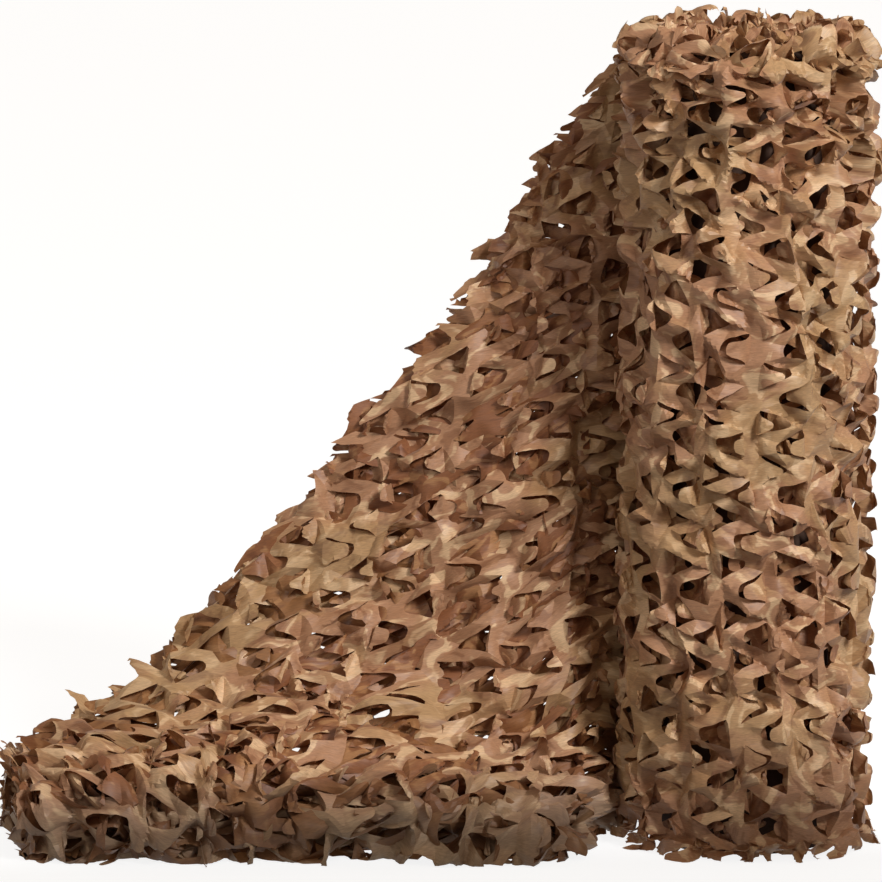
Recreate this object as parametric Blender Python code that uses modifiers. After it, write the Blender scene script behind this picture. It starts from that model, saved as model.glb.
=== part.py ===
"""Camouflage netting: a bulk roll of leaf-cut cloth standing on its end. Its loose end is drawn off the back of
the roll, slopes down to the left and is gathered in folds on the floor.

Metres, +Z up. The origin is the centre of the roll's foot. +X runs from the loose end towards the roll, and the
loose end's front is towards -Y. The cuts and leaves of the cloth are finer than this model: each solid is as
thick as the leaves that stand out of the cloth.
"""

import math

import bmesh
import bpy
from mathutils import Vector

TURN = 2 * math.pi

# The cloth
CLOTH_WIDTH = 1.5
LAYER = 0.026  # one turn of opened cloth on the roll
BULK = 0.022  # thickness of the loose end, leaves included

# The roll
ROLL_RADIUS = 0.243
LEAVES_AT = math.radians(112)  # where the outer turn leaves the roll
ROLL_SIDES = 48
LUMP = 0.0035  # height of the soft lumps on its side
LUMPS_END = 0.06  # share of the turn in which the lumps fade out, next to the step

# The roll's outline from its foot up and in to the eye of its upper end: height, share of the full radius
ROLL_OUTLINE = (
    (0.0, 0.945),
    (0.008, 0.975),
    (0.028, 0.992),
    (0.070, 1.000),
    (1.400, 1.000),
    (1.445, 0.985),
    (1.475, 0.950),
    (1.492, 0.890),
    (1.500, 0.800),
    (1.496, 0.550),
    (1.484, 0.300),
    (1.462, 0.190),
    (1.440, 0.130),
)
ROLL_BANDS = 10  # bands of facets along the straight part of its side

# The loose end, in rows along the cloth. The cloth of a row falls from its top edge to a knee, runs out to the
# brow of the heap, turns down to the floor, runs back to the heel and folds forward again inside the heap.
# run: distance along the cloth. top_x, top_y, top_z: the top edge. foot_x: the row's place on the floor.
# knee_y, knee_z: the knee. front_y, heap_z: the brow. heel_y: the rear fold. width: the cloth's drawn-in width.
COLUMNS = (
    "run", "top_x", "top_y", "top_z", "foot_x", "knee_y", "knee_z", "front_y", "heap_z", "heel_y", "width", "bow",
)
ROWS = (
    (0.00, -0.090, 0.212, 1.488, -0.090, 0.212, 0.80, 0.212, 0.020, 0.282, 1.474, 0.0),
    (0.11, -0.190, 0.178, 1.455, -0.175, 0.174, 0.75, 0.165, 0.040, 0.235, 1.446, 0.0),
    (0.23, -0.292, 0.165, 1.325, -0.248, 0.075, 0.34, 0.010, 0.045, 0.130, 1.375, 0.0),
    (0.34, -0.370, 0.170, 1.205, -0.312, -0.010, 0.16, -0.160, 0.052, 0.100, 1.385, 0.0),
    (0.46, -0.455, 0.180, 1.075, -0.390, 0.005, 0.14, -0.215, 0.060, 0.110, 1.430, 0.0),
    (0.58, -0.545, 0.185, 0.930, -0.475, 0.025, 0.17, -0.222, 0.080, 0.150, 1.450, 0.0),
    (0.71, -0.645, 0.190, 0.800, -0.570, 0.055, 0.24, -0.226, 0.138, 0.190, 1.490, 0.0),
    (0.86, -0.765, 0.190, 0.655, -0.690, 0.060, 0.25, -0.232, 0.148, 0.220, 1.500, 0.0),
    (1.01, -0.885, 0.190, 0.515, -0.820, 0.055, 0.24, -0.224, 0.150, 0.250, 1.500, 0.0),
    (1.16, -1.005, 0.190, 0.385, -0.955, 0.060, 0.23, -0.230, 0.146, 0.280, 1.500, 0.1),
    (1.30, -1.125, 0.190, 0.285, -1.090, 0.060, 0.21, -0.236, 0.142, 0.300, 1.500, 0.3),
    (1.44, -1.245, 0.200, 0.200, -1.225, 0.070, 0.18, -0.225, 0.138, 0.305, 1.480, 0.5),
    (1.57, -1.345, 0.210, 0.125, -1.345, 0.090, 0.13, -0.185, 0.108, 0.300, 1.400, 0.7),
)
BOW_CENTRE = 0.11  # the row's end that reaches furthest, when it is bowed
STATIONS = 34
KNEE_BEND = 0.16
FOLD_SHARE = 0.5  # the folded layer lies half way up the heap
BEND_PARTS = 4  # facets round a bend
FLAT_PARTS = (10, 4, 1, 6, 1, 5)  # facets before each bend, and after the last
CLOSEST = 0.004  # least distance between points along a row


def row_at(run):
    """The loose end's row at a distance along the cloth, on smooth curves through the table's rows."""
    runs = [row[0] for row in ROWS]
    k = max(i for i in range(len(ROWS) - 1) if runs[i] <= run)
    before, start, end, after = (ROWS[min(max(i, 0), len(ROWS) - 1)] for i in range(k - 1, k + 3))
    t = (run - start[0]) / (end[0] - start[0])
    values = []
    for a, b, c, d in zip(before, start, end, after):
        slope_b = (c - a) / 2
        slope_c = (d - b) / 2
        cubic = 2 * (b - c) + slope_b + slope_c
        square = 3 * (c - b) - 2 * slope_b - slope_c
        values.append(b + t * (slope_b + t * (square + t * cubic)))
    return dict(zip(COLUMNS, values))


def rounded(corners, bends):
    """A line through corners, each rounded to its bend radius or to what its sides allow, in fixed parts."""
    line = []
    for before, corner, after, bend in zip(corners, corners[1:], corners[2:], bends):
        back = before - corner
        ahead = after - corner
        half_turn = (math.pi - back.angle(ahead)) / 2
        reach = min(bend * math.tan(half_turn), 0.499 * back.length, 0.499 * ahead.length)
        start = corner + back.normalized() * reach
        end = corner + ahead.normalized() * reach
        line.append([bent(start, corner, end, half_turn, k / BEND_PARTS) for k in range(BEND_PARTS + 1)])
    return line


def bent(start, corner, end, half_turn, t):
    """A point on the arc from start to end whose sides meet at corner."""
    if half_turn < 0.01:
        return start.lerp(end, t)
    middle = (start + end) / 2
    inward = (middle - corner).normalized()
    radius = (start - corner).length / math.tan(half_turn)
    centre = corner + inward * (radius / math.cos(half_turn))
    angle = half_turn * (2 * t - 1)
    side = (end - start).normalized()
    return centre + radius * (side * math.sin(angle) - inward * math.cos(angle))


def divided(start, end, parts):
    """Points from start towards end, without the end."""
    return [start.lerp(end, k / parts) for k in range(parts)]


def along(line):
    """The distance of each point from the start of a line."""
    distances = [0.0]
    for start, end in zip(line, line[1:]):
        distances.append(distances[-1] + (end - start).length)
    return distances


def spaced(line, wanted):
    """Points at the wanted distances along a line."""
    distances = along(line)
    points = []
    k = 0
    for distance in wanted:
        while k < len(line) - 2 and distances[k + 1] < distance:
            k += 1
        share = (distance - distances[k]) / (distances[k + 1] - distances[k])
        points.append(line[k].lerp(line[k + 1], share))
    return points


def row_line(row):
    """One row of the loose end across the cloth, from its top edge, in depth and height. Its points stay with
    its bends. Where the cloth's width is used up before the last bend, they close up at the cloth's edge."""
    floor = BULK / 2
    fold_z = floor + (row["heap_z"] - floor) * FOLD_SHARE
    corners = (
        (row["top_y"], row["top_z"]),
        (row["knee_y"], row["knee_z"]),
        (row["front_y"], row["heap_z"]),
        (row["front_y"], floor),
        (row["heel_y"], floor),
        (row["heel_y"], fold_z),
        (row["front_y"], fold_z),
    )
    front = (row["heap_z"] - floor) / 2
    fold = (fold_z - floor) / 2
    bends = rounded([Vector(c) for c in corners], (KNEE_BEND, front, front, fold, fold))
    line = []
    start = Vector(corners[0])
    for bend, parts in zip(bends, FLAT_PARTS):
        line += divided(start, bend[0], parts)
        line += bend[:-1]
        start = bend[-1]
    rest = max(row["width"] - along([*line, start])[-1], CLOSEST * FLAT_PARTS[-1])
    end = start + Vector((-rest, 0))
    line += [*divided(start, end, FLAT_PARTS[-1]), end]
    last = len(line) - 1
    wanted = [min(at, row["width"] - CLOSEST * (last - k)) for k, at in enumerate(along(line))]
    return spaced(line, wanted)


def row_points(run):
    """The row's points in space. It leans so that its top edge is further out than its foot, and bows."""
    row = row_at(run)
    lean = (row["top_x"] - row["foot_x"]) / row["top_z"]
    points = []
    for y, z in row_line(row):
        x = row["foot_x"] + lean * z + row["bow"] * (y - BOW_CENTRE) ** 2
        points.append(Vector((x, y, z)))
    return points


def loft(rings, closed):
    """A mesh of quads between rings of equal numbers of points."""
    mesh = bmesh.new()
    rows = [[mesh.verts.new(point) for point in ring] for ring in rings]
    for lower, upper in zip(rows, rows[1:]):
        last = len(lower) if closed else len(lower) - 1
        for k in range(last):
            n = (k + 1) % len(lower)
            mesh.faces.new((lower[k], lower[n], upper[n], upper[k]))
    return mesh, rows


def named_object(name, mesh, collection, material):
    data = bpy.data.meshes.new(name)
    mesh.to_mesh(data)
    mesh.free()
    data.materials.append(material)
    data.shade_smooth()
    data.set_sharp_from_angle(angle=math.radians(50))
    made = bpy.data.objects.new(name, data)
    collection.objects.link(made)
    return made


def cloth(name, colour, roughness):
    material = bpy.data.materials.new(name)
    material.use_nodes = True
    surface = material.node_tree.nodes["Principled BSDF"]
    surface.inputs["Base Color"].default_value = (*colour, 1)
    surface.inputs["Roughness"].default_value = roughness
    surface.inputs["Metallic"].default_value = 0
    return material


def turn_point(share, height, scale):
    """A point of the outer turn, which grows by one layer from its start to where the cloth leaves it."""
    angle = LEAVES_AT + TURN * share
    fade = min(1, share / LUMPS_END, (1 - share) / LUMPS_END)
    lump = math.sin(3 * angle + 5 * height) + 0.6 * math.sin(7 * angle - 9 * height)
    radius = scale * (ROLL_RADIUS - LAYER * (1 - share)) + LUMP * fade * lump * scale
    return Vector((radius * math.cos(angle), radius * math.sin(angle), height))


def roll_outline():
    """The table's outline, with the long straight side split in bands."""
    for (z, scale), (next_z, next_scale) in zip(ROLL_OUTLINE, ROLL_OUTLINE[1:]):
        bands = ROLL_BANDS if next_z - z > CLOTH_WIDTH / 2 else 1
        for k in range(bands):
            yield z + (next_z - z) * k / bands, scale + (next_scale - scale) * k / bands
    yield ROLL_OUTLINE[-1]


def make_roll(collection, material):
    """The wound cloth: one solid with the step of its outer turn, soft shoulders and a sunken eye."""
    shares = [k / ROLL_SIDES for k in range(ROLL_SIDES + 1)]
    rings = [[turn_point(share, z, scale) for share in shares] for z, scale in roll_outline()]
    mesh, rows = loft(rings, closed=True)
    mesh.faces.new(reversed(rows[0]))
    mesh.faces.new(rows[-1])
    return named_object("roll", mesh, collection, material)


def make_loose_end(collection, material):
    """The cloth drawn off the roll: an open sheet through its rows, thickened evenly to both sides."""
    length = ROWS[-1][0]
    rings = [row_points(length * k / STATIONS) for k in range(STATIONS + 1)]
    mesh, _ = loft(rings, closed=False)
    made = named_object("loose_end", mesh, collection, material)
    solid = made.modifiers.new("bulk", "SOLIDIFY")
    solid.thickness = BULK
    solid.offset = 0
    solid.use_even_offset = True
    solid.use_quality_normals = True
    return made


def main():
    for old in list(bpy.data.objects):
        bpy.data.objects.remove(old, do_unlink=True)
    netting = bpy.data.collections.new("camouflage_netting")
    bpy.context.scene.collection.children.link(netting)
    make_roll(netting, cloth("roll_cloth", (0.235, 0.112, 0.056), 0.6))
    make_loose_end(netting, cloth("loose_cloth", (0.250, 0.125, 0.064), 0.6))


main()
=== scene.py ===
"""Looks of the camouflage netting: the leaf-cut cloth of the roll and of its loose end, its print, the
floor, the light and the camera. Metres, +Z up, in the frame of the solids."""

import math

import bpy
import numpy as np
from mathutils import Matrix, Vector
from mathutils.geometry import delaunay_2d_cdt


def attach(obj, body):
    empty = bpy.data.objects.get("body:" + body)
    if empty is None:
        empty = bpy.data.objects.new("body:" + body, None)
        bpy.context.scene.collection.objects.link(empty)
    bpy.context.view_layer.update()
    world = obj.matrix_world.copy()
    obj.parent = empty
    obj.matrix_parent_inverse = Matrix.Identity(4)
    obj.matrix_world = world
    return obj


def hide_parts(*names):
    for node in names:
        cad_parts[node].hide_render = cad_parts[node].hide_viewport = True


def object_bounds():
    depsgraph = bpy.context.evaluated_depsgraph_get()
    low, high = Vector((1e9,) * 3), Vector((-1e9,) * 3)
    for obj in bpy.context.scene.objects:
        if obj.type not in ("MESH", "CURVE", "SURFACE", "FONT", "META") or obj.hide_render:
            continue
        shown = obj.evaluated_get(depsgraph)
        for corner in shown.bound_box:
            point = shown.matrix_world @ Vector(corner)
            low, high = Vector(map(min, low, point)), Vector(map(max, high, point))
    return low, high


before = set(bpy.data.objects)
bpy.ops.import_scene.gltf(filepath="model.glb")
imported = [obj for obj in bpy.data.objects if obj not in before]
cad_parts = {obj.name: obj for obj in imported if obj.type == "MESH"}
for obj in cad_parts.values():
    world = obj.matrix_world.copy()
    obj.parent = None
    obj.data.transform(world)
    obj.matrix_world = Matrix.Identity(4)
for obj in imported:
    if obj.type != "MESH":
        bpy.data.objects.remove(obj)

solids_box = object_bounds()

# ---------------------------------------------------------------- sizes
TURN = 2 * math.pi
CLOTH_WIDTH = 1.5  # opened
BULK = 0.022  # thickness of the loose end's solid
LAYER = 0.026  # one turn of opened cloth
ROLL_RADIUS = 0.243  # with its leaves
LEAVES_AT = math.radians(112)  # where the outer turn leaves the roll
OUTER_TURN = TURN * (ROLL_RADIUS - LAYER)  # cloth in the outer turn, opened

# The cut pattern: one cell of the uncut cloth holds two cuts, each around three sides of a leaf. The
# first leaf points back along the cloth and the second points on.
CELL_LENGTH, CELL_WIDTH = 0.100, 0.098
CELL = np.array((CELL_LENGTH, CELL_WIDTH))
OPENED_LENGTH, OPENED_WIDTH = 0.0975, 0.0882  # the cell as the cloth lies, drawn together into creases
OPENED = np.array((OPENED_LENGTH, OPENED_WIDTH))
LEAF_BACK = ((0.046, 0.031), (0.000, 0.013), (-0.003, -0.010), (0.043, -0.026))
LEAF_ON = ((-0.034, -0.077), (0.013, -0.055), (0.015, -0.045), (-0.031, -0.019))
LEAVES = (LEAF_BACK, LEAF_ON)
CORNER_RADII = (0.011, 0.006)  # of the first leaf and of the second, which is more pointed
WAIST = 0.0035  # how far a cut's two sides bend in towards the leaf
WAIST_AT = 0.4  # of a side's length from the cut's end
WAIST_RADIUS = 0.03
SLIGHT_TURN = 0.3  # half the turn of a waist, at the most, in radians
BEND_SHARE = 0.45  # of a cut's side, that a bend may take at the most
BEND_LENGTH = 1.6  # of a bend, as a multiple of its reach along the sides
# Creases from a corner of one cut to a corner of another, as cut and corner, and the cells between them
CREASES = (
    ((0, 0), (1, 0), (1, 1)),
    ((0, 3), (1, 3), (1, 0)),
    ((0, 0), (1, 1), (0, 1)),
    ((0, 3), (1, 2), (0, 0)),
    ((0, 1), (1, 0), (0, 1)),
    ((0, 2), (1, 3), (0, 0)),
)

# How the pattern lies on the roll
CELLS_ON_ROLL, ROWS_ON_CLOTH, ROWS_ON_ROLL = 14, 17, 20
SKEW = 0.10  # how much the columns of cells lean
BUNCHED_FROM = 1.32  # the height from which the cloth is bunched up at the roll's upper end
BUNCHED = 1.25  # how much width is bunched into that of the roll's side

# How the leaves stand. Angles are in radians, and each leaf draws its own between the two ends.
LEAF_TURN = (0.7, 1.9)  # out at the hinge
LINING_TURN = (0.1, 0.6)  # in the lining, whose leaves lie flatter
LEAF_CURL = (-0.4, 1.6)  # further on at its second fold
SECOND_FOLD = (0.4, 0.75)  # of the leaf's reach
LEAF_TWIST = 0.45  # either way, at the most
BEHIND_HINGE = 0.004  # where a leaf hangs on the strips
LEAF_SWING = 1.0  # how far aside a leaf goes for its way forward, where the leaves stand every way
DRAWN_OUT = 1.2  # how much further the cloth is drawn open along the loose end than on the roll
STRIP_HEIGHT = 0.015  # how far the corners of the strips between the leaves stand off
DRIFT_ALONG, DRIFT_ACROSS = (0.017, 0.11), (0.006, 0.09)  # how far the cells stray, and over what length
STANDS_OUT = 0.024  # how far the cloth stands off its middle at the most
# How much more the leaves turn and twist and the strips stand off where the leaves stand every way
WILDER_TURN, WILDER_TWIST, WILDER_STRIPS, WILDER_STANDS_OUT = 0.3, 1.5, 0.9, 0.014
WILD_FROM, WILD_WITHIN = 1.16, 0.15  # height on the roll, and what it takes to become so
PROUD = 0.024  # how far leaf tips stand out from the solids in front and behind

# How the cloth settles, each as a share of a full move in one step
SETTLING_STEPS = 40
PUSH = 0.4  # of an edge that is too short, where one that is too long pulls fully
BENDING = 0.08  # across an edge that is in no crease
CORRECTED, CARRIED_ON = 0.9, 0.7
REMEMBERED = (0.02, 0.02, 0.2)  # back to its place along and across, and to its height

MESH_STEP = 0.0068
JITTER = 0.08  # of a mesh step, by which the mesh points stray
KEPT_OFF = 0.62  # of a mesh step, between the spread points and those on lines
CREASE = math.radians(20)  # edges bent by more than this look crisp
FORM_STEP = 0.01  # between the places of the forms that the cloth lies on
ABOVE_FLOOR = 0.001

# What counts as one place, as touching, as beyond the hinge and as in a crease
ONE_PLACE, TOUCHING, PAST_HINGE, IN_CREASE = 1e-7, 1e-6, 1e-4, 5e-4


# ---------------------------------------------------------------- the cut cloth, flat
def shifts_within(reach):
    """Every step of whole cells along and across, up to a reach each way."""
    return [(i, j) for i in range(-reach, reach + 1) for j in range(-reach, reach + 1)]


def spaced(start, end):
    """Points from start to just before end, about a mesh step apart."""
    parts = max(1, round((end - start).length / MESH_STEP))
    return [start.lerp(end, k / parts) for k in range(parts)]


def cut_line(corners, radius):
    """One cut as points about a mesh step apart, with its sides bent in and its corners rounded."""
    start, first, last, end = (Vector(corner) for corner in corners)
    inwards = (end - start).normalized() * WAIST
    waists = start.lerp(first, WAIST_AT) + inwards, end.lerp(last, WAIST_AT) - inwards
    corners = [start, waists[0], first, last, waists[1], end]
    line, place = [], start
    for before, corner, after in zip(corners, corners[1:], corners[2:]):
        back, ahead = before - corner, after - corner
        half_turn = (math.pi - back.angle(ahead)) / 2
        is_waist = half_turn < SLIGHT_TURN
        reach = min((WAIST_RADIUS if is_waist else radius) * math.tan(half_turn), BEND_SHARE * back.length)
        bend_start = corner + back.normalized() * reach
        bend_end = corner + ahead.normalized() * reach
        line += spaced(place, bend_start)
        parts = max(2, round(BEND_LENGTH * reach / MESH_STEP))
        for t in (k / parts for k in range(parts)):
            line.append((1 - t) ** 2 * bend_start + 2 * t * (1 - t) * corner + t * t * bend_end)
        place = bend_end
    return line + spaced(place, end) + [end]


def cell_points(lines, rng):
    """The cell's mesh points: those of its lines first, then an even spread that keeps off them."""
    on_lines = np.array([tuple(p) for line in lines for p in line])
    near = np.concatenate([on_lines + shift for shift in np.array(shifts_within(2)) * CELL])
    columns = round(CELL_LENGTH / MESH_STEP)
    rows = 2 * round(CELL_WIDTH / (MESH_STEP * math.sqrt(3)))
    free = []
    for j in range(rows):
        for i in range(columns):
            point = np.array([(i + 0.5 * (j % 2)) * CELL_LENGTH / columns, j * CELL_WIDTH / rows])
            point += rng.uniform(-JITTER, JITTER, 2) * MESH_STEP
            if np.hypot(*(near - point).T).min() > KEPT_OFF * MESH_STEP:
                free.append(point)
    return np.concatenate([on_lines, free])


def cell_triangles(points, lines):
    """The cell's triangles. Each corner is (cell shift along, cell shift across, point)."""
    places, owners, edges = [], [], []
    for i, j in shifts_within(2):
        first = len(places)
        for k, (x, y) in enumerate(points):
            places.append(Vector((x + i * CELL_LENGTH, y + j * CELL_WIDTH)))
            owners.append((i, j, k))
        for line in lines:
            edges += [(first + k, first + k + 1) for k in range(len(line) - 1)]
            first += len(line)
    made, _, faces, sources, _, _ = delaunay_2d_cdt(places, edges, [], 0, ONE_PLACE)
    kept = []
    for face in faces:
        centre = sum((made[v] for v in face), Vector((0, 0))) / 3
        if 0 <= centre.x < CELL_LENGTH and 0 <= centre.y < CELL_WIDTH:
            kept.append([owners[sources[v][0]] for v in face])
    return np.array(kept)


def open_cuts(points, triangles, cuts):
    """Doubles the inner points of each cut, so that its sides part. It returns the points, the triangles
    and for each cut the points on its leaf's side."""
    place = points[triangles[..., 2]] + triangles[..., :2] * CELL
    centres = place.mean(1)
    parted = triangles.copy()
    doubles, leaves = [], []
    first = 0
    for cut in cuts:
        shape = np.array([tuple(p) for p in cut])
        chord = shape[-1] - shape[0]
        bulge = shape[len(shape) // 2] - shape[0]
        leaf_is_left = chord[0] * bulge[1] - chord[1] * bulge[0] < 0
        leaf = []
        for k in range(1, len(cut) - 1):
            own = first + k
            ahead, back = shape[k + 1] - shape[k], shape[k - 1] - shape[k]
            start = math.atan2(ahead[1], ahead[0])
            opening = (math.atan2(back[1], back[0]) - start) % TURN
            away = centres[:, None] - place
            turned = (np.arctan2(away[..., 1], away[..., 0]) - start) % TURN
            is_left = (triangles[..., 2] == own) & (turned < opening)
            double = len(points) + len(doubles)
            doubles.append(shape[k])
            parted[..., 2][is_left] = double
            leaf.append(double if leaf_is_left else own)
        leaves.append(leaf)
        first += len(cut)
    return np.concatenate([points, doubles]), parted, leaves


def near_corner(cut, corner, shift=(0, 0)):
    """The point of a cut that lies nearest to one of its corners, a number of cells further."""
    nearest = min(cut, key=lambda p: (p - Vector(corner)).length)
    return nearest + Vector(shift) * Vector((CELL_LENGTH, CELL_WIDTH))


class Cloth:
    """The leaf-cut cloth as one flat mesh of many cells, each given by its numbers along and across."""

    def __init__(self, cells, rng):
        self.cuts = [cut_line(leaf, radius) for leaf, radius in zip(LEAVES, CORNER_RADII)]
        self.creases = [(cut[0], cut[-1]) for cut in self.cuts]
        for (cut, corner), (other, its), shift in CREASES:
            start = near_corner(self.cuts[cut], LEAVES[cut][corner])
            self.creases.append((start, near_corner(self.cuts[other], LEAVES[other][its], shift)))
        lines = [*self.cuts, *(spaced(*crease)[1:] for crease in self.creases)]
        points = cell_points(lines, rng)
        points, triangles, self.leaves = open_cuts(points, cell_triangles(points, lines), self.cuts)
        corners = np.repeat(triangles[None], len(cells), 0)
        corners[..., :2] += cells[:, None, None]
        self.owners, index = np.unique(corners.reshape(-1, 3), axis=0, return_inverse=True)
        self.flat = points[self.owners[:, 2]] + self.owners[:, :2] * CELL
        self.triangles = index.reshape(-1, 3)
        self.home = np.floor(self.flat / CELL).astype(int)
        spare = 3  # cells beyond the cloth on every side, where a leaf may have its hinge
        self.first = self.home.min(0) - spare
        self.many = self.home.max(0) - self.first + spare + 1

    def on_leaf(self, cut):
        """Which points lie on the rim of a cut's leaf, and which lie on that cut or are doubles of points
        on any cut."""
        last = max(max(leaf) for leaf in self.leaves) - sum(len(c) - 2 for c in self.cuts)
        point = self.owners[:, 2]
        first = sum(len(c) for c in self.cuts[:cut])
        on_cut = (point >= first) & (point < first + len(self.cuts[cut])) | (point > last)
        return np.isin(point, self.leaves[cut]), on_cut


# ---------------------------------------------------------------- leaves and creases
def inside(points, outline):
    """Which points lie inside an outline."""
    x, y = points.T
    found = np.zeros(len(points), bool)
    for (x1, y1), (x2, y2) in zip(outline, np.roll(outline, -1, 0)):
        crosses = (y1 > y) != (y2 > y)
        found ^= crosses & (x < (x2 - x1) * (y - y1) / (y2 - y1 + 1e-12) + x1)
    return found


def turn_leaves(cloth, rng, angles, inward, wild):
    """The cloth as run, width and height, with each leaf turned out at its hinge and bent once more
    halfway. It also returns where each point hangs on the flat cloth: a leaf's points at its hinge, and
    others in place."""
    opened = OPENED / CELL
    flat, owners = cloth.flat, cloth.owners
    shape = np.column_stack([flat * opened, np.zeros(len(flat))])
    root = flat.copy()
    for number, cut in enumerate(cloth.cuts):
        outline = np.array([tuple(p) for p in cut])
        foot = outline[0]
        hinge = (outline[-1] - foot) / np.linalg.norm(outline[-1] - foot)
        out = np.array([-hinge[1], hinge[0]])
        middle = outline[len(outline) // 2]
        out *= np.sign((middle - foot) @ out)
        reach = (middle - foot) @ out
        on_rim, on_cut = cloth.on_leaf(number)
        turn = rng.uniform(*angles, cloth.many) * np.where(rng.random(cloth.many) < inward, -1, 1)
        turn *= 1 + WILDER_TURN * wild
        curl = rng.uniform(*LEAF_CURL, cloth.many) * np.sign(turn)
        twist = rng.uniform(-LEAF_TWIST, LEAF_TWIST, cloth.many) * (1 + WILDER_TWIST * wild)
        swing = rng.uniform(-LEAF_SWING, LEAF_SWING, cloth.many) * wild
        fold = rng.uniform(*SECOND_FOLD, cloth.many) * reach
        for shift in shifts_within(1):
            owner = cloth.home + shift
            own = (owners[:, :2] == owner).all(1)
            local = flat - owner * CELL
            far = (local - foot) @ out
            taken = np.where(on_cut, own & on_rim, inside(local, outline)) & (far > PAST_HINGE)
            at = tuple((owner[taken] - cloth.first).T)
            root[taken] = owner[taken] * CELL + (outline[0] + outline[-1]) / 2 - BEHIND_HINGE * out
            far, side = far[taken], (local[taken] - middle) @ hinge
            near = np.minimum(far, fold[at])
            beyond = far - near
            low, high = turn[at], turn[at] - curl[at]
            forward = near * np.cos(low) + beyond * np.cos(high)
            aside = swing[at] * forward
            shape[taken, :2] += ((forward - far)[:, None] * out + aside[:, None] * hinge) * opened
            lift = near * np.sin(low) + beyond * np.sin(high)
            shape[taken, 2] += lift + twist[at] * side * far / reach
    return shape, root


def drift(flat, rng, height, spacing):
    """A slow random drift over the cloth: random at the corners of a grid, and straight between them."""
    place = flat / spacing
    corner = np.floor(place).astype(int)
    s, t = (place - corner).T
    corner -= corner.min(0)
    heights = rng.normal(0, height, corner.max(0) + 2)
    i, j = corner.T
    low = heights[i, j] * (1 - t) + heights[i, j + 1] * t
    high = heights[i + 1, j] * (1 - t) + heights[i + 1, j + 1] * t
    return low * (1 - s) + high * s


def facets(cloth):
    """The facets that meet in the creases. Each is the numbers of its corners, as cells along and across
    and the corner's own, and their places."""
    ends = [near_corner(cut, corner) for cut, leaf in zip(cloth.cuts, LEAVES) for corner in leaf]
    corners = np.array([tuple(p) for p in ends])
    shifts = np.array(shifts_within(2))
    nodes = (corners[None] + shifts[:, None] * CELL).reshape(-1, 2)
    numbers = np.array([(*shift, k) for shift in shifts for k in range(len(corners))])
    edges = []
    for start, end in cloth.creases:
        for shift in shifts:
            gaps = [np.hypot(*(nodes - np.array(p) - shift * CELL).T) for p in (start, end)]
            if max(gap.min() for gap in gaps) < TOUCHING:
                edges.append(tuple(int(gap.argmin()) for gap in gaps))
    places = [Vector(p) for p in nodes.tolist()]
    made, _, faces, sources, _, _ = delaunay_2d_cdt(places, edges, [], 0, ONE_PLACE)
    found = []
    for face in faces:
        found.append((numbers[[sources[v][0] for v in face]], np.array([tuple(made[v]) for v in face])))
    return found


def on_facet(points, corners):
    """Which points lie on a facet, and the shares of its second and third corner in each."""
    a, b, c = corners
    s, t = np.linalg.inv(np.column_stack([b - a, c - a])) @ (points - a).T
    return (s > -TOUCHING) & (t > -TOUCHING) & (s + t < 1 + TOUCHING), s, t


def folded(cloth, rng, wild):
    """Heights of the strips between the leaves: random at the corners of the cuts, and straight facets
    that meet in the creases between them."""
    heights = rng.normal(0, STRIP_HEIGHT, (*(cloth.many + 2), len(LEAF_BACK) + len(LEAF_ON)))
    heights[:-2, :-2] *= 1 + WILDER_STRIPS * wild[..., None]
    local = cloth.flat - cloth.home * CELL
    found = np.zeros(len(cloth.flat))
    for numbers, corners in facets(cloth):
        inner, s, t = on_facet(local, corners)
        at = [heights[tuple((cloth.home[inner] + n[:2] - cloth.first).T) + (n[2],)] for n in numbers]
        found[inner] = at[0] * (1 - s - t)[inner] + at[1] * s[inner] + at[2] * t[inner]
    return found


def facet_middles(cloth, root):
    """For each triangle of the cloth, the middle of the facet that it lies on or that its leaf hangs on.
    The cloth is trimmed by these, so that it ends in whole facets and leaves."""
    hangs = (root != cloth.flat).any(1)[cloth.triangles]
    hangs |= ~hangs.any(1)[:, None]
    place = (root[cloth.triangles] * hangs[..., None]).sum(1) / hangs.sum(1)[:, None]
    base = np.floor(place / CELL) * CELL
    middles = place.copy()
    for _, corners in facets(cloth):
        inner, _, _ = on_facet(place - base, corners)
        middles[inner] = base[inner] + corners.mean(0)
    return middles


def in_crease(cloth, edges):
    """Which edges of the mesh lie in a crease."""
    middle = cloth.flat[edges].mean(1) % CELL
    found = np.zeros(len(edges), bool)
    for start, end in cloth.creases:
        start, way = np.array(start), np.array(end) - np.array(start)
        for shift in shifts_within(2):
            away = middle - start - shift * CELL
            share = away @ way / (way @ way)
            off = np.hypot(*(away - share[:, None] * way).T)
            found |= (share > 0) & (share < 1) & (off < IN_CREASE)
    return found


def sides(triangles):
    """The three sides of every triangle in order of their points, and the order that they were put in.
    Of two sides in one place, both are next to each other."""
    edges = np.concatenate([triangles[:, [0, 1]], triangles[:, [1, 2]], triangles[:, [2, 0]]])
    edges.sort(1)
    order = np.lexsort((edges[:, 1], edges[:, 0]))
    return edges[order], order


def neighbours(triangles):
    """The mesh's edges, those shared by two triangles, and the points that face each other over those."""
    edges, order = sides(triangles)
    facing = np.concatenate([triangles[:, 2], triangles[:, 0], triangles[:, 1]])[order]
    same = (edges[1:] == edges[:-1]).all(1)
    k = np.flatnonzero(same)
    return edges[np.r_[True, ~same]], edges[k], np.column_stack([facing[k], facing[k + 1]])


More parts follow.
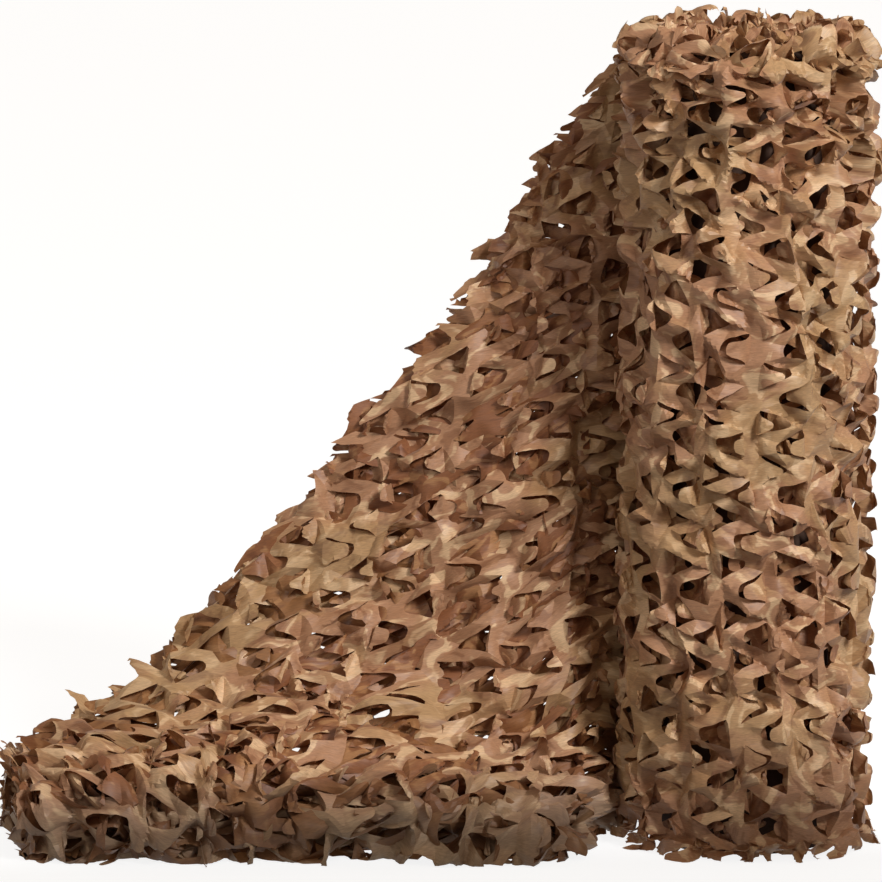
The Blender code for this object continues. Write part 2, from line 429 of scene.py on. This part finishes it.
def settle(shape, cloth, limit):
    """Lets the cloth find its own lengths again: each edge pulls or pushes to its flat length, points
    that face each other over an edge do so weakly, and every point keeps near its place and height."""
    flat = cloth.flat
    edges, shared, facing = neighbours(cloth.triangles)
    pairs = np.concatenate([edges, facing])
    rest = np.linalg.norm(flat[pairs[:, 0]] - flat[pairs[:, 1]], axis=1)
    bending = np.where(in_crease(cloth, shared), 0, BENDING)
    pull = np.r_[np.ones(len(edges)), bending]
    push = np.r_[np.full(len(edges), PUSH), bending]
    a, b = pairs.T
    count = len(shape)
    weight = np.bincount(a, pull, count) + np.bincount(b, pull, count)
    wanted = shape.copy()
    wanted[:, 2] = limit * np.tanh(shape[:, 2] / limit)
    before = shape
    for _ in range(SETTLING_STEPS):
        gap = shape[b] - shape[a]
        length = np.sqrt((gap * gap).sum(1)) + 1e-9
        gap *= (np.where(length > rest, pull, push) * (1 - rest / length))[:, None]
        moved = np.column_stack([np.bincount(a, g, count) - np.bincount(b, g, count) for g in gap.T])
        step = CORRECTED * moved / weight[:, None] + CARRIED_ON * (shape - before)
        step = step + REMEMBERED * (wanted - shape)
        before = shape
        shape = shape + step
    return shape


# ---------------------------------------------------------------- forms that the cloth lies on
class Form:
    """A smooth surface as a grid of places over run and width, with its outward directions."""

    def __init__(self, places, run, width):
        self.places, self.run, self.width = places, run, width
        along, across = np.gradient(places, axis=(0, 1))
        out = np.cross(along, across)
        self.out = out / np.linalg.norm(out, axis=2, keepdims=True)

    def at(self, run, width, height):
        """Places on the form or straight on from its edges, off it by a height."""
        rows, columns = self.places.shape[:2]
        i = (run - self.run[0]) / (self.run[1] - self.run[0]) * (rows - 1)
        j = (width - self.width[0]) / (self.width[1] - self.width[0]) * (columns - 1)
        i0, j0 = np.clip(i.astype(int), 0, rows - 2), np.clip(j.astype(int), 0, columns - 2)
        s, t = (i - i0)[:, None], (j - j0)[:, None]

        def mixed(grid):
            near = grid[i0, j0] * (1 - t) + grid[i0, j0 + 1] * t
            far = grid[i0 + 1, j0] * (1 - t) + grid[i0 + 1, j0 + 1] * t
            return near * (1 - s) + far * s

        return mixed(self.places) + mixed(self.out) * height[:, None]


def smooth(a, b, c, d, t):
    """The place a share of the way from b to c, on the smooth curve through all four."""
    from_b, to_c = (c - a) / 2, (d - b) / 2
    bend = 3 * (c - b) - 2 * from_b - to_c
    return b + t * (from_b + t * (bend + t * (2 * (b - c) + from_b + to_c)))


def lengths_along(line):
    """How far along a line each of its points lies."""
    return np.r_[0, np.cumsum(np.linalg.norm(np.diff(line, axis=0), axis=1))]


def smooth_line(points):
    """A smooth line through points, as places that lie a form's step apart, and its length."""
    points = np.array(points, float)
    padded = np.concatenate([points[:1], points, points[-1:]])
    share = np.linspace(0, 1, 12, endpoint=False)[:, None]
    line = [smooth(*four, share) for four in zip(padded, padded[1:], padded[2:], padded[3:])]
    line = np.concatenate([*line, points[-1:]])
    gone = lengths_along(line)
    wanted = np.arange(0, gone[-1], FORM_STEP)
    return np.column_stack([np.interp(wanted, gone, axis) for axis in line.T]), wanted[-1]


# The roll's side and upper end, up and in to its eye: height, share of the full radius
ROLL_SIDE = (
    (0.000, 1.060), (0.030, 1.015), (0.080, 1.000), (0.700, 1.000), (1.385, 1.000), (1.428, 0.985),
    (1.457, 0.950), (1.474, 0.890), (1.482, 0.800), (1.478, 0.550), (1.466, 0.300), (1.444, 0.190),
)
# How far the outer turn lies under the full radius, in layers, by its share from start to end
AROUND, LAYERS_DOWN = (0, 0.15, 0.8, 1), (1.5, 1.05, 0.88, 0.5)
UPPER_END = 1.4  # height from which a sunk turn also lies lower
LOWERED = 0.3  # how much lower, as a share of its depth


def roll_form(sunk):
    """One turn of the roll, from where it starts under the loose end to where it leaves. The outer turn
    isn't sunk; one below it is sunk by its depth."""
    profile = [(z - LOWERED * sunk * (z > UPPER_END), share * ROLL_RADIUS) for z, share in ROLL_SIDE]
    side, reach = smooth_line(profile)
    share = np.linspace(0, 1, 181)[:, None]
    angle = LEAVES_AT + TURN * share
    depth = np.interp(share, AROUND, LAYERS_DOWN)
    radius = side[:, 1] - (sunk + LAYER * depth) * side[:, 1] / ROLL_RADIUS
    height = np.broadcast_to(side[:, 0], radius.shape)
    places = np.stack([radius * np.cos(angle), radius * np.sin(angle), height], 2)
    return Form(places, (-OUTER_TURN, 0), (0, reach))


# The loose end, in rows along the cloth, as its solid has them. run: distance along the cloth. top_x,
# top_y, top_z: the top edge. foot_x: the row's place on the floor. knee_y, knee_z: where it starts to run
# out. front_y, heap_z: the brow of the heap. heel_y: the rear fold. width: the cloth's drawn-in width.
# bow: how much the row bows back from its furthest place.
ROW_NAMES = (
    "run", "top_x", "top_y", "top_z", "foot_x", "knee_y",
    "knee_z", "front_y", "heap_z", "heel_y", "width", "bow",
)
ROWS = (
    (0.00, -0.090, 0.212, 1.488, -0.090, 0.212, 0.80, 0.212, 0.020, 0.282, 1.474, 0.0),
    (0.11, -0.190, 0.178, 1.455, -0.175, 0.174, 0.75, 0.165, 0.040, 0.235, 1.446, 0.0),
    (0.23, -0.292, 0.165, 1.325, -0.248, 0.075, 0.34, 0.010, 0.045, 0.130, 1.375, 0.0),
    (0.34, -0.370, 0.170, 1.205, -0.312, -0.010, 0.16, -0.160, 0.052, 0.100, 1.385, 0.0),
    (0.46, -0.455, 0.180, 1.075, -0.390, 0.005, 0.14, -0.215, 0.060, 0.110, 1.430, 0.0),
    (0.58, -0.545, 0.185, 0.930, -0.475, 0.025, 0.17, -0.222, 0.080, 0.150, 1.450, 0.0),
    (0.71, -0.645, 0.190, 0.800, -0.570, 0.055, 0.24, -0.226, 0.138, 0.190, 1.490, 0.0),
    (0.86, -0.765, 0.190, 0.655, -0.690, 0.060, 0.25, -0.232, 0.148, 0.220, 1.500, 0.0),
    (1.01, -0.885, 0.190, 0.515, -0.820, 0.055, 0.24, -0.224, 0.150, 0.250, 1.500, 0.0),
    (1.16, -1.005, 0.190, 0.385, -0.955, 0.060, 0.23, -0.230, 0.146, 0.280, 1.500, 0.1),
    (1.30, -1.125, 0.190, 0.285, -1.090, 0.060, 0.21, -0.236, 0.142, 0.300, 1.500, 0.3),
    (1.44, -1.245, 0.200, 0.200, -1.225, 0.070, 0.18, -0.225, 0.138, 0.305, 1.480, 0.5),
    (1.57, -1.345, 0.210, 0.125, -1.345, 0.090, 0.13, -0.185, 0.108, 0.300, 1.400, 0.7),
)
BOW_CENTRE = 0.11  # where a bowed row reaches furthest
KNEE_BEND = 0.16
NEARLY_HALF = 0.499  # of a side, that a bend may take at the most
HEAP_TOP = 0.19  # the height under which the leaves stand every way
# How the pattern lies on the loose end: the length that a run takes up, how far its rows of cells lean
# and drop, and the run in which it turns so
TAKEN_UP, LEAN, DROP, TURNS_WITHIN = 1.36, 0.12, 0.30, 0.6
# How the loose end's cloth strays from its form
WAVES = (0.007, 0.2)  # how far it waves, and over what length
WAVES_SEED = 11  # the same in every sheet, so that they wave together
WAVES_WITHIN = 0.1  # the run in which the waves rise
TIP_FROM, TIP_WITHIN, TIP_BACK = 1.3, 0.25, 0.02  # where the tip is pressed back, and how far
TIP_CUT_FROM, TIP_CUT_WITHIN, TIP_CUT = 1.25, 0.3, 0.16  # where it lacks width at its top edge
HEM_SPREAD, HEM_HEIGHT, HEM_BEFORE = 0.022, 0.035, -0.15  # how the front hem spreads on the floor


def row_at(run):
    """The loose end's row at a distance along the cloth, on smooth curves through the table's rows."""
    k = max(i for i in range(len(ROWS) - 1) if ROWS[i][0] <= run)
    before, start, end, after = (ROWS[min(max(i, 0), len(ROWS) - 1)] for i in range(k - 1, k + 3))
    share = (run - start[0]) / (end[0] - start[0])
    values = [smooth(*four, share) for four in zip(before, start, end, after)]
    return dict(zip(ROW_NAMES, values))


def rounded(corners, bends, parts=10):
    """A line through corners, each rounded to its bend or to what its sides allow."""
    line = [corners[0]]
    for before, corner, after, bend in zip(corners, corners[1:], corners[2:], bends):
        back, ahead = before - corner, after - corner
        half_turn = (math.pi - back.angle(ahead)) / 2
        reach = min(bend * math.tan(half_turn), NEARLY_HALF * min(back.length, ahead.length))
        start, end = corner + back.normalized() * reach, corner + ahead.normalized() * reach
        is_straight = half_turn < 0.01
        if is_straight:
            line += [start, end]
            continue
        inward = ((start + end) / 2 - corner).normalized()
        radius = reach / math.tan(half_turn)
        centre = corner + inward * (radius / math.cos(half_turn))
        side = (end - start).normalized()
        for k in range(parts + 1):
            angle = half_turn * (2 * k / parts - 1)
            line.append(centre + radius * (side * math.sin(angle) - inward * math.cos(angle)))
    return np.array([tuple(p) for p in [*line, corners[-1]]])


def row_places(run, steps):
    """One row of the loose end in space, from its foot edge to its top edge."""
    row = row_at(run)
    floor = BULK / 2
    fold_z = (row["heap_z"] + floor) / 2
    corners = (
        (row["top_y"], row["top_z"]),
        (row["knee_y"], row["knee_z"]),
        (row["front_y"], row["heap_z"]),
        (row["front_y"], floor),
        (row["heel_y"], floor),
        (row["heel_y"], fold_z),
        (row["front_y"] - CLOTH_WIDTH, fold_z),
    )
    front, fold = (row["heap_z"] - floor) / 2, (fold_z - floor) / 2
    line = rounded([Vector(c) for c in corners], (KNEE_BEND, front, front, fold, fold))
    gone = lengths_along(line)
    wanted = np.linspace(row["width"], 0, steps)
    y, z = np.interp(wanted, gone, line[:, 0]), np.interp(wanted, gone, line[:, 1])
    lean = (row["top_x"] - row["foot_x"]) / row["top_z"]
    return np.column_stack([row["foot_x"] + lean * z + row["bow"] * (y - BOW_CENTRE) ** 2, y, z])


def loose_form():
    """The drawn-off cloth, with its front outwards."""
    length = ROWS[-1][0]
    runs = np.linspace(0, length, round(length / FORM_STEP) + 1).tolist()
    steps = 2 * round(CLOTH_WIDTH / FORM_STEP) + 1
    return Form(np.array([row_places(run, steps) for run in runs]), (0, length), (0, CLOTH_WIDTH))


# ---------------------------------------------------------------- making the pieces
TURN_FLAT = (CELLS_ON_ROLL * CELL_LENGTH, ROWS_ON_ROLL * CELL_WIDTH)
# Painted shade near the floor: the loose end's cloth is painted greyer and darker below the first height,
# and fully so the second height further down
PAINTED_SHADE_BELOW, PAINTED_SHADE_WITHIN = 0.17, 0.10
# How deep the second turn and the core lie, in layers
SECOND_TURN, CORE = 1.3, 2.5


def hanging_together(triangles):
    """The triangles that hang together with most of the cloth, without the scraps left by trimming."""
    edges, order = sides(triangles)
    owners = np.tile(np.arange(len(triangles)), 3)[order]
    same = (edges[1:] == edges[:-1]).all(1)
    a, b = owners[1:][same], owners[:-1][same]
    label, before = np.arange(len(triangles)), None
    while before is None or (label != before).any():
        before = label.copy()
        least = np.minimum(label[a], label[b])
        np.minimum.at(label, a, least)
        np.minimum.at(label, b, least)
        label = label[label]
    return triangles[label == np.bincount(label).argmax()]


def mesh_piece(name, places, triangles, flat, material, shaded_near_floor=False):
    """A piece of thin cloth from places and triangles. Its UV map holds its place on the flat cloth, and
    an attribute holds its share of painted shade, which grows towards the floor."""
    used, triangles = np.unique(hanging_together(triangles), return_inverse=True)
    triangles = triangles.reshape(-1, 3)
    places, flat = places[used], flat[used]
    mesh = bpy.data.meshes.new(name)
    mesh.vertices.add(len(places))
    mesh.vertices.foreach_set("co", places.astype("f").ravel())
    mesh.loops.add(triangles.size)
    mesh.loops.foreach_set("vertex_index", triangles.astype("i").ravel())
    mesh.polygons.add(len(triangles))
    mesh.polygons.foreach_set("loop_start", np.arange(0, triangles.size, 3, dtype="i"))
    mesh.update(calc_edges=True)
    cloth_map = mesh.uv_layers.new(name="cloth")
    cloth_map.data.foreach_set("uv", flat[triangles.ravel()].astype("f").ravel())
    painted_floor_shade = mesh.attributes.new("painted_floor_shade", "FLOAT", "POINT")
    painted_shade_share = shaded_near_floor * np.clip((PAINTED_SHADE_BELOW - places[:, 2]) / PAINTED_SHADE_WITHIN, 0, 1)
    painted_floor_shade.data.foreach_set("value", painted_shade_share.astype("f"))
    mesh.shade_smooth()
    mesh.set_sharp_from_angle(angle=CREASE)
    mesh.materials.append(material)
    piece = bpy.data.objects.new(name, mesh)
    bpy.context.scene.collection.objects.link(piece)
    return piece


def onto_loose_end(run, width):
    """Where a place of the pattern lies on the loose end's form."""
    turned = np.clip(run / TURNS_WITHIN, 0, 1)
    row = run * TAKEN_UP + LEAN * turned * (CLOTH_WIDTH - width)
    table = dict(zip(ROW_NAMES, np.array(ROWS).T))
    edge = np.interp(row, table["run"], table["top_z"]) * CLOTH_WIDTH / table["top_z"][0]
    drop = DROP * (run - TURNS_WITHIN * turned * (1 - turned / 2))
    return row, width + CLOTH_WIDTH - edge - drop


def cells_on_roll():
    """The cells that cover one turn of the roll, and a little more all round."""
    rows = range(-1, ROWS_ON_ROLL + 2)
    return [(i, j) for i in range(-CELLS_ON_ROLL - 3, 0) for j in rows]


def cells_on_loose_end():
    """The cells that cover the loose end, and one more all round."""
    cells = []
    for i in range(-3, round(ROWS[-1][0] / OPENED_LENGTH)):
        for j in range(-ROWS_ON_CLOTH, ROWS_ON_ROLL + 2):
            width = (j + 0.5) * OPENED_WIDTH
            row, width = onto_loose_end(skewed((i + 0.5) * OPENED_LENGTH, width), width)
            if not -OPENED_LENGTH < row < ROWS[-1][0] + OPENED_LENGTH:
                continue
            if abs(width - CLOTH_WIDTH / 2) < CLOTH_WIDTH / 2 + OPENED_WIDTH:
                cells.append((i, j))
    return cells


def skewed(run, width):
    """A run with the lean that the pattern's columns have."""
    return run + SKEW * (CLOTH_WIDTH - width)


def bunched(width):
    """How far up the roll's side, and on to its eye, a width of the cloth reaches."""
    return np.where(width > BUNCHED_FROM, BUNCHED_FROM + (width - BUNCHED_FROM) / BUNCHED, width)


def wild_cells(cloth, shift):
    """1 for the cells that lie in the heap or round the roll's upper end, where the leaves stand every
    way, 0 for the others, and between where the one becomes the other."""
    i, j = (np.indices(cloth.many).reshape(2, -1) + cloth.first[:, None] + 0.5).astype(float)
    width = j * OPENED_WIDTH + shift[1]
    run = skewed(i * OPENED_LENGTH + shift[0], width)
    on_end = loose_form().at(*onto_loose_end(run, width), np.zeros(run.size))[:, 2]
    on_roll = np.clip((bunched(width) - WILD_FROM) / WILD_WITHIN, 0, 1)
    wild = np.where(run < 0, on_roll, on_end < HEAP_TOP)
    return wild.reshape(cloth.many).astype(float)


def creased(cells, seed, shift, inward, angles=LEAF_TURN):
    """A piece of the cloth in its creases, its pattern shifted and a share of its leaves turned inward. It
    returns the cloth, its run, width and height, and the run and width of each triangle's facet."""
    rng = np.random.default_rng(seed)
    cloth = Cloth(np.array(cells), rng)
    wild = wild_cells(cloth, shift)
    shape, root = turn_leaves(cloth, rng, angles, inward, wild)
    shape[:, 0] += drift(cloth.flat, rng, *DRIFT_ALONG)
    shape[:, 1] += drift(cloth.flat, rng, *DRIFT_ACROSS)
    shape[:, 2] += folded(cloth, rng, wild)
    limit = STANDS_OUT + WILDER_STANDS_OUT * wild[tuple((cloth.home - cloth.first).T)]
    shape[:, 0] += (DRAWN_OUT - 1) * np.maximum(shape[:, 0], 0)
    shape = settle(shape, cloth, limit)
    shape[:, 0] -= (1 - 1 / DRAWN_OUT) * np.maximum(shape[:, 0], 0)
    facet = facet_middles(cloth, root) * (OPENED / CELL)
    for places in (shape, facet):
        places[:, :2] += shift
        places[:, 0] = skewed(*places[:, :2].T)
    return cloth, shape, facet


def on_floor(places):
    """Places with those below the floor laid on it, and leaf tips in front and behind pressed back
    towards the solids."""
    low, high = solids_box
    kept = np.clip(places[:, 1], low[1], high[1])
    places[:, 1] = kept + PROUD * np.tanh((places[:, 1] - kept) / PROUD)
    places[:, 2] = np.maximum(places[:, 2], ABOVE_FLOOR)
    return places


def lay_on_roll(name, cloth, shape, facet, sunk, printed):
    """The part of the cloth that covers one turn of the roll."""
    form = roll_form(sunk)
    once_round = CELLS_ON_ROLL * OPENED_LENGTH
    run, width, height = shape.T
    places = on_floor(form.at(run * OUTER_TURN / once_round, bunched(width), height))
    run, width = facet.T
    shown = (run < 0) & (run > -once_round) & (width > 0) & (bunched(width) < form.width[1])
    return mesh_piece(name, places, cloth.triangles[shown], cloth.flat, printed)


def lay_on_loose_end(name, cloth, shape, facet, aside, printed):
    """The part of the cloth that forms the loose end, as one of its layers."""
    run, width, height = shape.T
    rng = np.random.default_rng(WAVES_SEED)
    row, level = onto_loose_end(run, width)
    height = height + aside + drift(cloth.flat, rng, *WAVES) * np.clip(run / WAVES_WITHIN, 0, 1)
    height = height - TIP_BACK * np.clip((row - TIP_FROM) / TIP_WITHIN, 0, 1)
    places = loose_form().at(row, level, height)
    spread = HEM_SPREAD * np.clip(1 - places[:, 2] / HEM_HEIGHT, 0, 1)
    places[:, 1] -= spread * (places[:, 1] < HEM_BEFORE)
    places = on_floor(places)
    row, level = onto_loose_end(*facet.T)
    top = CLOTH_WIDTH - BULK / 2 - TIP_CUT * np.clip((row - TIP_CUT_FROM) / TIP_CUT_WITHIN, 0, 1)
    shown = (facet[:, 0] > 0) & (level > -2 * BULK) & (level < top) & (row < ROWS[-1][0] + BULK)
    # The loose end takes painted shade near the floor
    return mesh_piece(name, places, cloth.triangles[shown], cloth.flat, printed, shaded_near_floor=True)


def make_core(cloth):
    """The wound body under the turns that show."""
    places = roll_form(CORE * LAYER).places[:, ::4]
    rows, columns = places.shape[:2]
    i, j = np.meshgrid(np.arange(rows - 1), np.arange(columns - 1), indexing="ij")
    a = (i * columns + j).ravel()
    lower = np.column_stack([a, a + columns, a + 1])
    upper = np.column_stack([a + 1, a + columns, a + columns + 1])
    run = np.repeat(np.linspace(0, TURN_FLAT[0], rows), columns)
    width = np.tile(np.linspace(0, CLOTH_WIDTH, columns), rows)
    flat = np.column_stack([run, width])
    return mesh_piece("wound_core", places.reshape(-1, 3), np.concatenate([lower, upper]), flat, cloth)


# ---------------------------------------------------------------- finishes
class Value:
    """A shader number. Sums and products on it add Math nodes."""

    def __init__(self, finish, socket):
        self.finish, self.socket = finish, socket

    def maths(self, operation, *others):
        """A Math node on values and numbers."""
        added = self.finish.node("Math", {"operation": operation}, dict(enumerate(others)))
        return Value(self.finish, added[0])

    def __add__(self, other):
        return self.maths("ADD", self, other)

    def __sub__(self, other):
        return self.maths("SUBTRACT", self, other)

    def __rsub__(self, other):
        return self.maths("SUBTRACT", other, self)

    def __mul__(self, other):
        return self.maths("MULTIPLY", self, other)

    __radd__, __rmul__ = __add__, __mul__


class Finish:
    """The nodes of a material or of the surroundings, which are added by one method."""

    def __init__(self, owner):
        owner.use_nodes = True
        self.owner, self.tree = owner, owner.node_tree

    def node(self, kind, settings=None, inputs=None):
        """Adds a node, sets it and its sockets, and returns its outputs."""
        node = self.tree.nodes.new("ShaderNode" + kind)
        for name, value in (settings or {}).items():
            setattr(node, name, value)
        self.feed(node, inputs or {})
        return node.outputs

    def feed(self, node, inputs):
        """Links values and sockets to a node's sockets, and sets constants on them."""
        for name, value in inputs.items():
            socket = value.socket if isinstance(value, Value) else value
            if isinstance(socket, bpy.types.NodeSocket):
                self.tree.links.new(socket, node.inputs[name])
            else:
                node.inputs[name].default_value = socket

    def noise(self, where, scale, detail=2.0, roughness=0.5, distortion=0.0):
        """Random patches over the flat cloth."""
        inputs = {"Vector": where, "Scale": scale, "Detail": detail}
        inputs |= {"Roughness": roughness, "Distortion": distortion}
        return Value(self, self.node("TexNoise", {"noise_dimensions": "2D"}, inputs)["Fac"])

    def edge(self, value, low, high):
        """0 below low and 1 above high, soft between."""
        inputs = {"Value": value, "From Min": low, "From Max": high}
        ranged = self.node("MapRange", {"interpolation_type": "SMOOTHSTEP"}, inputs)
        return Value(self, ranged["Result"])

    def mixed(self, share, under, over, blend="MIX"):
        """One colour over another by a share."""
        settings = {"data_type": "RGBA", "blend_type": blend}
        return self.node("Mix", settings, {"Factor": share, 6: under, 7: over})[2]


SAND = (0.74, 0.485, 0.275, 1)
TAN = (0.50, 0.280, 0.134, 1)
ROSE = (0.46, 0.236, 0.124, 1)
BROWN = (0.32, 0.148, 0.072, 1)
KHAKI = (0.50, 0.34, 0.165, 1)
# The greyer, darker brown of the painted shade near the floor
FLOOR_SHADE_GREY = (0.40, 0.30, 0.215, 1)
GLOW_THROUGH = (0.50, 0.20, 0.07)  # the colour of light that comes through the cloth
SHINES_THROUGH = 0.12  # how much of the cloth's look that is


def printed_cloth(name, painted_shade=1.0):
    """Thin polyester, printed in soft-edged patches with fine streaks along the cloth. A shade below 1
    gives a darker, browner copy of the print: painted shade for cloth that lies in the shadow of other
    layers.
    """
    finish = Finish(bpy.data.materials.new(name))
    surface = finish.tree.nodes["Principled BSDF"]
    where = finish.node("UVMap", {"uv_map": "cloth"})[0]
    stretched = finish.node("Mapping", {}, {"Vector": where, "Scale": (1.0, 6.0, 1.0)})[0]
    broad = finish.noise(where, 9.0, distortion=0.8)
    middle = finish.noise(where, 19.0, distortion=1.0)
    wide = finish.noise(where, 3.2, detail=1.0, distortion=0.5)
    streaks = finish.noise(stretched, 34.0, detail=3.0, roughness=0.6, distortion=0.5)
    ragged = (streaks - 0.5) * 0.12
    colour = finish.mixed(finish.edge(broad * 0.6 + wide * 0.8 + ragged, 0.62, 0.78), ROSE, TAN)
    colour = finish.mixed(finish.edge(middle + ragged, 0.54, 0.64), colour, SAND)
    colour = finish.mixed(finish.edge(1 - middle + ragged, 0.58, 0.70), colour, BROWN)
    colour = finish.mixed(finish.edge(wide, 0.50, 0.62) * 0.35, colour, KHAKI)
    # Painted shade near the floor: towards the floor the print is mixed with a greyer, darker brown
    painted_shade_share = Value(finish, finish.node("Attribute", {"attribute_name": "painted_floor_shade"})["Fac"])
    colour = finish.mixed(painted_shade_share * 0.55, colour, FLOOR_SHADE_GREY)
    fine = finish.edge(finish.noise(stretched, 90.0, roughness=0.6), 0.2, 0.8)
    # Painted shade: the print's tones are darkened and browned by the shade factor
    dark, light = ((grey * painted_shade, grey * painted_shade**1.6, grey * painted_shade**2.2, 1) for grey in (0.79, 1.12))
    toned = finish.mixed(1.0, colour, finish.mixed(fine, dark, light), blend="MULTIPLY")
    finish.feed(surface, {"Base Color": toned, "Roughness": 0.46 + fine * 0.12})
    weave = finish.noise(where, 900.0, detail=1.0)
    pleats = finish.noise(stretched, 22.0, detail=1.0)
    relief = {"Strength": 0.35, "Distance": 0.002, "Height": pleats + weave * 0.05}
    finish.feed(surface, {"Normal": finish.node("Bump", {}, relief)[0]})
    finish.feed(surface, {"Sheen Weight": 0.1, "Sheen Roughness": 0.4})
    # The light through the cloth is darkened by the same painted shade
    glow = (*(part * painted_shade for part in GLOW_THROUGH), 1)
    through = finish.node("BsdfTranslucent", {}, {"Color": glow})[0]
    looks = finish.node("MixShader", {}, {0: SHINES_THROUGH, 1: surface.outputs[0], 2: through})
    finish.feed(finish.tree.nodes["Material Output"], {"Surface": looks[0]})
    return finish.owner


def plain(name, colour, roughness, glow=0.0):
    """One even colour, with a glow where one is given."""
    finish = Finish(bpy.data.materials.new(name))
    surface = finish.tree.nodes["Principled BSDF"]
    finish.feed(surface, {"Base Color": colour, "Roughness": roughness})
    finish.feed(surface, {"Emission Color": (1, 1, 1, 1), "Emission Strength": glow})
    return finish.owner


# ---------------------------------------------------------------- floor, light, camera
LAMPS_AIM = (-0.3, 0, 0.8)
CARD_PLACE, CARD_SIZE = (0, -0.75, 0.32), (8, 0.62, 1)
CARD_TILT = -0.10  # in radians, so that it stands higher before the roll
CAMERA_RISE = math.radians(10.5)
CAMERA_AWAY, LENS, SENSOR = 15, 337, 36  # metres, and millimetres for the lens and its sensor
AIM_ALONG, AIM_UP = 0.798, 0.4887  # metres from the loose end's tip, and of the solids' height


def lamp(name, place, size, power):
    """A round soft light aimed at the roll."""
    data = bpy.data.lights.new(name, "AREA")
    data.shape, data.size, data.energy = "DISK", size, power
    made = bpy.data.objects.new(name, data)
    made.location = place
    made.rotation_euler = (Vector(LAMPS_AIM) - Vector(place)).to_track_quat("-Z", "Y").to_euler()
    bpy.context.scene.collection.objects.link(made)


def pale_floor():
    """A bright floor that throws no light on the cloth."""
    bpy.ops.mesh.primitive_plane_add(size=60, location=(0, 0, 0))
    floor = bpy.context.object
    floor.name = "floor"
    floor.visible_diffuse = False
    floor.data.materials.append(plain("pale_floor", (0.3, 0.3, 0.3, 1), roughness=0.9, glow=0.85))
    return floor


def dark_card():
    """A card that stands before the object, out of the camera's sight, and keeps light off its foot."""
    turned = (math.pi / 2, CARD_TILT, 0)
    bpy.ops.mesh.primitive_plane_add(size=1, location=CARD_PLACE, rotation=turned)
    card = bpy.context.object
    card.name = "dark_flag"
    card.scale = CARD_SIZE
    card.visible_diffuse = False
    card.visible_camera = False
    card.data.materials.append(plain("dark_card", (0.01, 0.01, 0.01, 1), roughness=0.9))
    return card


def surroundings():
    """A warm light from all round, dim from below and brighter from above."""
    finish = Finish(bpy.data.worlds.new("studio"))
    way = finish.node("TexCoord")["Generated"]
    rise = finish.node("SeparateXYZ", {}, {0: way})["Z"]
    inputs = {"Value": rise, "From Min": -0.2, "From Max": 0.6, "To Min": 0.06, "To Max": 0.41}
    strength = finish.node("MapRange", {}, inputs)["Result"]
    background = finish.tree.nodes["Background"]
    finish.feed(background, {"Strength": strength, "Color": (1, 0.85, 0.70, 1)})
    bpy.context.scene.world = finish.owner


def studio():
    """The floor, the card, the surroundings and the lamps."""
    floor, card = pale_floor(), dark_card()
    surroundings()
    lamp("key", (4.8, -6.3, 6.0), size=2.2, power=825)
    lamp("fill", (-3.4, -5.2, 3.6), size=3.0, power=60)


def camera():
    """A long lens a little above the object, looking along +Y."""
    low, high = solids_box
    aim = Vector((low[0] + AIM_ALONG, 0, high[2] * AIM_UP))
    data = bpy.data.cameras.new("camera")
    data.sensor_width, data.lens, data.clip_end = SENSOR, LENS, 100
    made = bpy.data.objects.new("camera", data)
    away = Vector((0, -math.cos(CAMERA_RISE), math.sin(CAMERA_RISE)))
    made.location = aim + CAMERA_AWAY * away
    made.rotation_euler = (math.pi / 2 - CAMERA_RISE, 0, 0)
    bpy.context.scene.collection.objects.link(made)
    bpy.context.scene.camera = made
    bpy.context.scene.view_settings.view_transform = "Standard"


def main():
    """Sets up the studio, makes the pieces and joins them to the frame."""
    bpy.ops.object.select_all(action="DESELECT")
    camera()
    studio()
    printed = printed_cloth("printed_cloth")
    # Copies of the one print with painted shade: a light shade for the roll's inner turn, and a deep shade
    # for the loose end's middle and lining
    below = printed_cloth("printed_cloth_painted_half_shade", painted_shade=0.85)
    shaded = printed_cloth("printed_cloth_painted_deep_shade", painted_shade=0.6)
    half = OPENED / 2
    end = cells_on_loose_end()
    both = sorted({*cells_on_roll(), *end})
    outer = creased(both, seed=21, shift=(0, 0), inward=0.45)
    inner = creased(both, seed=5, shift=half, inward=0.6)
    rear = creased(end, seed=8, shift=half * (-0.3, 0.6), inward=0.5, angles=LINING_TURN)
    behind = creased(end, seed=9, shift=half * (0.6, -0.4), inward=0.5)
    outer_roll = lay_on_roll("netting_outer_turn", *outer, sunk=0.0, printed=printed)
    inner_roll = lay_on_roll("netting_inner_turn", *inner, sunk=SECOND_TURN * LAYER, printed=below)
    front = lay_on_loose_end("netting_loose_front", *inner, aside=-0.010, printed=printed)
    middle = lay_on_loose_end("netting_loose_middle", *outer, aside=0.004, printed=shaded)
    lining = lay_on_loose_end("netting_loose_lining", *rear, aside=0.012, printed=shaded)
    back = lay_on_loose_end("netting_loose_back", *behind, aside=0.022, printed=printed)
    # The wound cloth is painted near black: painted shade for the depth inside the roll
    core = make_core(plain("wound_cloth_painted_shade", (0.06, 0.03, 0.018, 1), roughness=0.9))
    for piece in (outer_roll, inner_roll, core):
        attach(piece, "root")
        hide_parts("roll")
    for piece in (front, middle, lining, back):
        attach(piece, "root")
        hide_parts("loose_end")


main()
